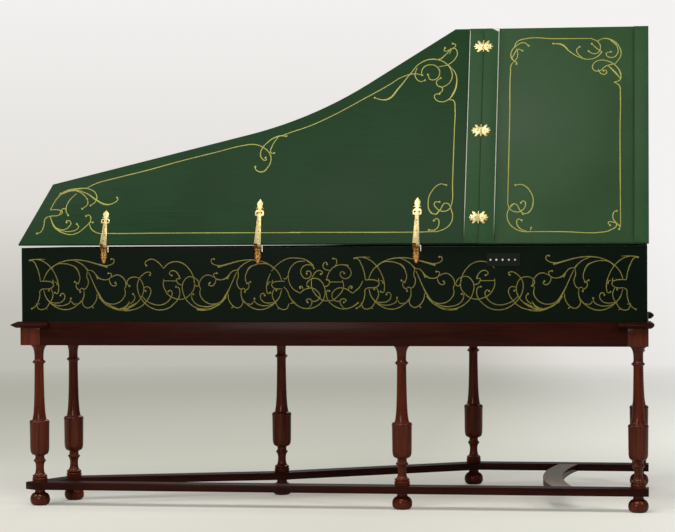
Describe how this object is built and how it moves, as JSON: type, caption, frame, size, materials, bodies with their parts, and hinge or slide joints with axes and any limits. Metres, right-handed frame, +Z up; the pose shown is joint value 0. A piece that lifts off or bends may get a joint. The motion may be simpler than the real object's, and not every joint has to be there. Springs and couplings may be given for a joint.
{
  "type": "harpsichord",
  "caption": "Two-manual harpsichord on a turned-leg stand, its painted wing-shaped lid propped open over strings, soundboard, jacks and keyboards.",
  "frame": {"origin": "on the floor under the middle of the foot at the keyboard end of the long straight side", "axes": "+X from the pointed tail towards the player, +Y from the long straight side to the curved side, +Z up"},
  "size_m": [2.3632, 0.921, 1.7724],
  "materials": {
    "stand_wood": "glossy reddish brown varnish",
    "case_paint": "very dark green paint, satin",
    "lid_paint": "green paint, satin",
    "bare_wood": "bare",
    "soundboard_wood": "thin clear varnish",
    "dark_wood": "oiled",
    "brass": "polished",
    "steel": "satin",
    "bone": "polished bone",
    "ebony": "polished black wood",
    "jack_wood": "planed pear wood"
  },
  "bodies": {
    "case": {"stand_legs": "stand_wood", "stand_feet": "stand_wood", "stand_corner_mouldings": "stand_wood", "stand_rail_spine": "stand_wood", "stand_rail_cheek": "stand_wood", "stand_rail_front": "stand_wood", "stand_rails_tail_bentside": "stand_wood", "stretcher_spine": "stand_wood", "stretchers_far": "stand_wood", "stretcher_crescent": "stand_wood", "case_spine": "case_paint", "case_tail": "case_paint", "case_bentside": "case_paint", "case_cheek": "case_paint", "nameboard": "case_paint", "jack_rail": "case_paint", "key_blocks": "case_paint", "case_front_rail": "case_paint", "case_bottom": "bare_wood", "case_braces": "bare_wood", "soundboard_liner": "bare_wood", "belly_rail": "bare_wood", "lower_key_frame": "bare_wood", "upper_key_frame": "bare_wood", "wrest_plank_blocks": "bare_wood", "soundboard": "soundboard_wood", "wrest_plank": "soundboard_wood", "bridges": "dark_wood", "nuts": "dark_wood", "strap_hinge_case_leaves": "brass", "adjuster_plate": "brass", "strings_8ft": "brass", "strings_4ft": "brass", "adjuster_screws": "steel", "tuning_pins": "steel", "stop_lever_pins": "steel", "register_front_8ft": "jack_wood"},
    "lid": {"lid_main": "lid_paint", "lid_cleat": "lid_paint", "strap_hinge_lid_leaves": "brass", "butterfly_lid_leaves": "brass"},
    "flap": {"lid_flap": "lid_paint", "flap_cleats": "lid_paint", "butterfly_flap_leaves": "brass"},
    "prop": {"lid_prop": "bare_wood"},
    "hinge_pins": {"strap_hinge_pins": "brass"},
    "back_register": {"register_back_8ft": "jack_wood"},
    "four_foot_register": {"register_4ft": "jack_wood"},
    "back_stop_lever": {"stop_lever_back_8ft": "steel"},
    "four_foot_stop_lever": {"stop_lever_4ft": "steel"},
    "lower_naturals": {"lower_naturals": "bone"},
    "lower_sharps": {"lower_sharps": "ebony"},
    "upper_naturals": {"upper_naturals": "bone"},
    "upper_sharps": {"upper_sharps": "ebony"},
    "jacks_4ft_naturals": {"jacks_4ft_naturals": "jack_wood"},
    "jacks_4ft_sharps": {"jacks_4ft_sharps": "jack_wood"},
    "jacks_back_8ft_naturals": {"jacks_back_8ft_naturals": "jack_wood"},
    "jacks_back_8ft_sharps": {"jacks_back_8ft_sharps": "jack_wood"},
    "jacks_front_8ft_naturals": {"jacks_front_8ft_naturals": "jack_wood"},
    "jacks_front_8ft_sharps": {"jacks_front_8ft_sharps": "jack_wood"}
  },
  "joints": [
    {"name": "lid_hinge", "type": "hinge", "parent": "case", "child": "lid", "pos_m": [-1.3775, -0.0383, 0.964], "axis": [1, 0, 0], "range_deg": [-65.4, 0]},
    {"name": "flap_hinge", "type": "hinge", "parent": "lid", "child": "flap", "pos_m": [-0.571, -0.05521, 0.97702], "axis": [0, -0.4163, -0.9092], "range_deg": [0, 175]},
    {"name": "prop_removal", "type": "slide", "parent": "case", "child": "prop", "axis": [0, 1, 0], "range_m": [0, 1.105]},
    {"name": "hinge_pins_draw", "type": "slide", "parent": "case", "child": "hinge_pins", "axis": [1, 0, 0], "range_m": [0, 0.032]},
    {"name": "lower_naturals_press", "type": "hinge", "parent": "case", "child": "lower_naturals", "pos_m": [-0.2315, 0.402, 0.776], "axis": [0, 1, 0], "range_deg": [0, 1.8], "stiffness_Nm_per_rad": 12, "springref_deg": -4.58},
    {"name": "lower_sharps_press", "type": "hinge", "parent": "case", "child": "lower_sharps", "pos_m": [-0.2315, 0.402, 0.776], "axis": [0, 1, 0], "range_deg": [0, 1.8], "stiffness_Nm_per_rad": 12, "springref_deg": -4.58},
    {"name": "upper_naturals_press", "type": "hinge", "parent": "case", "child": "upper_naturals", "pos_m": [-0.2815, 0.402, 0.808], "axis": [0, 1, 0], "range_deg": [0, 2.2], "stiffness_Nm_per_rad": 12, "springref_deg": -4.58},
    {"name": "upper_sharps_press", "type": "hinge", "parent": "case", "child": "upper_sharps", "pos_m": [-0.2815, 0.402, 0.808], "axis": [0, 1, 0], "range_deg": [0, 2.2], "stiffness_Nm_per_rad": 12, "springref_deg": -4.58},
    {"name": "jacks_back_8ft_naturals_lift", "type": "slide", "parent": "back_register", "child": "jacks_back_8ft_naturals", "axis": [0, 0, 1], "range_m": [0, 0.00871]},
    {"name": "jacks_back_8ft_sharps_lift", "type": "slide", "parent": "back_register", "child": "jacks_back_8ft_sharps", "axis": [0, 0, 1], "range_m": [0, 0.00871]},
    {"name": "jacks_4ft_naturals_lift", "type": "slide", "parent": "four_foot_register", "child": "jacks_4ft_naturals", "axis": [0, 0, 1], "range_m": [0, 0.008]},
    {"name": "jacks_4ft_sharps_lift", "type": "slide", "parent": "four_foot_register", "child": "jacks_4ft_sharps", "axis": [0, 0, 1], "range_m": [0, 0.008]},
    {"name": "jacks_front_8ft_naturals_lift", "type": "slide", "parent": "case", "child": "jacks_front_8ft_naturals", "axis": [0, 0, 1], "range_m": [0, 0.00697]},
    {"name": "jacks_front_8ft_sharps_lift", "type": "slide", "parent": "case", "child": "jacks_front_8ft_sharps", "axis": [0, 0, 1], "range_m": [0, 0.00697]},
    {"name": "back_stop_turn", "type": "hinge", "parent": "case", "child": "back_stop_lever", "pos_m": [-0.4165, 0.0025, 0.875], "axis": [0, 0, 1], "range_deg": [-1.28, 0]},
    {"name": "back_register_shift", "type": "slide", "parent": "case", "child": "back_register", "axis": [0, 1, 0], "range_m": [0, 0.002]},
    {"name": "four_foot_stop_turn", "type": "hinge", "parent": "case", "child": "four_foot_stop_lever", "pos_m": [-0.4165, 0.8015, 0.875], "axis": [0, 0, 1], "range_deg": [-1.72, 0]},
    {"name": "four_foot_register_shift", "type": "slide", "parent": "case", "child": "four_foot_register", "axis": [0, 1, 0], "range_m": [0, 0.002]}
  ],
  "couplings": [
    {"joint": "prop_removal", "follows": "lid_hinge", "m_per_rad": -0.96369},
    {"joint": "jacks_back_8ft_naturals_lift", "follows": "lower_naturals_press", "m_per_rad": 0.274},
    {"joint": "jacks_back_8ft_sharps_lift", "follows": "lower_sharps_press", "m_per_rad": 0.274},
    {"joint": "jacks_4ft_naturals_lift", "follows": "lower_naturals_press", "m_per_rad": 0.2515},
    {"joint": "jacks_4ft_sharps_lift", "follows": "lower_sharps_press", "m_per_rad": 0.2515},
    {"joint": "jacks_front_8ft_naturals_lift", "follows": "upper_naturals_press", "m_per_rad": 0.179},
    {"joint": "jacks_front_8ft_sharps_lift", "follows": "upper_sharps_press", "m_per_rad": 0.179},
    {"joint": "back_register_shift", "follows": "back_stop_turn", "m_per_rad": -0.089},
    {"joint": "four_foot_register_shift", "follows": "four_foot_stop_turn", "m_per_rad": -0.0665}
  ]
}
